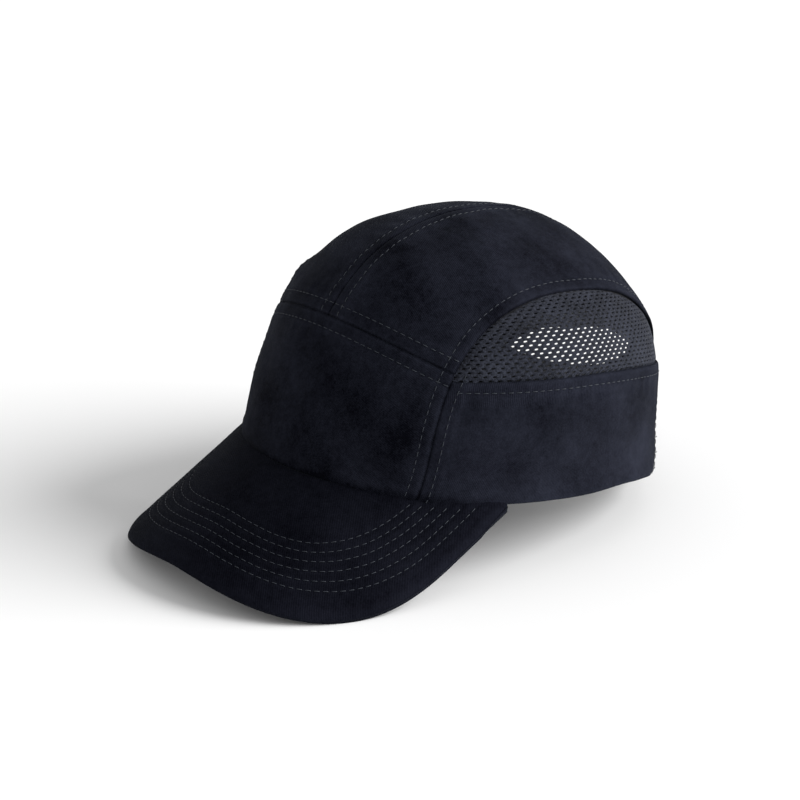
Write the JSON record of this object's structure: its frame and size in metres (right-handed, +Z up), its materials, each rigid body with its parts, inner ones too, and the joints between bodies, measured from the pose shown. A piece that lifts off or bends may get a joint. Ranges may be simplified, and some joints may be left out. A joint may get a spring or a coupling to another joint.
{
  "type": "bump cap",
  "caption": "Sewn baseball-style bump cap: cotton panels and mesh sides over a removable vented shell with foam pads, curved brim, hook-and-loop rear strap.",
  "frame": {"origin": "centre of the cap's bounding box on the surface it stands on, cap resting on the two tips of its brim and its rear strap", "axes": "+Z up, brim towards -Y, +X to the wearer's left"},
  "size_m": [0.179, 0.2748, 0.1453],
  "materials": {
    "cotton_twill": "matte",
    "mesh_fabric": "matte",
    "seam_tape": "matte",
    "stiffener": "matte",
    "brim_board_plastic": "matte",
    "sweatband_fabric": "matte",
    "brow_foam_fabric": "matte",
    "webbing": "matte",
    "loop_pile": "matte",
    "hook_pile": "matte",
    "ring_plastic": "satin",
    "shell_plastic": "satin",
    "eva_foam": "matte"
  },
  "bodies": {
    "cover": {"front_panel": "cotton_twill", "front_panel_backing": "stiffener", "crown_panel_left": "cotton_twill", "crown_panel_right": "cotton_twill", "mesh_panel_left": "mesh_fabric", "mesh_panel_right": "mesh_fabric", "side_panel_left": "cotton_twill", "side_panel_right": "cotton_twill", "centre_seam_tape": "seam_tape", "front_seam_tape": "seam_tape", "side_seam_tape_left": "seam_tape", "side_seam_tape_right": "seam_tape", "rear_arch_binding": "seam_tape", "sweatband": "sweatband_fabric", "brow_foam": "brow_foam_fabric", "brim_board": "brim_board_plastic", "brim_top_cover": "cotton_twill", "brim_under_cover": "cotton_twill", "strap": "webbing", "strap_loop_patch": "loop_pile", "strap_ring": "ring_plastic", "ring_tab": "webbing"},
    "shell": {"inner_shell": "shell_plastic", "crown_pad": "eva_foam", "front_pad": "eva_foam", "rear_pad": "eva_foam", "side_pad_left": "eva_foam", "side_pad_right": "eva_foam"},
    "strap_tail": {"strap_tail": "webbing", "strap_hook_patch": "hook_pile"}
  },
  "joints": [
    {"name": "shell_removal", "type": "slide", "parent": "cover", "child": "shell", "axis": [0, -0.108, -0.9942], "range_m": [0, 0.13]},
    {"name": "strap_opening", "type": "hinge", "parent": "cover", "child": "strap_tail", "pos_m": [-0.04149, 0.12244, 0.01715], "axis": [0, 0.108, 0.9942], "range_deg": [0, 120]}
  ]
}
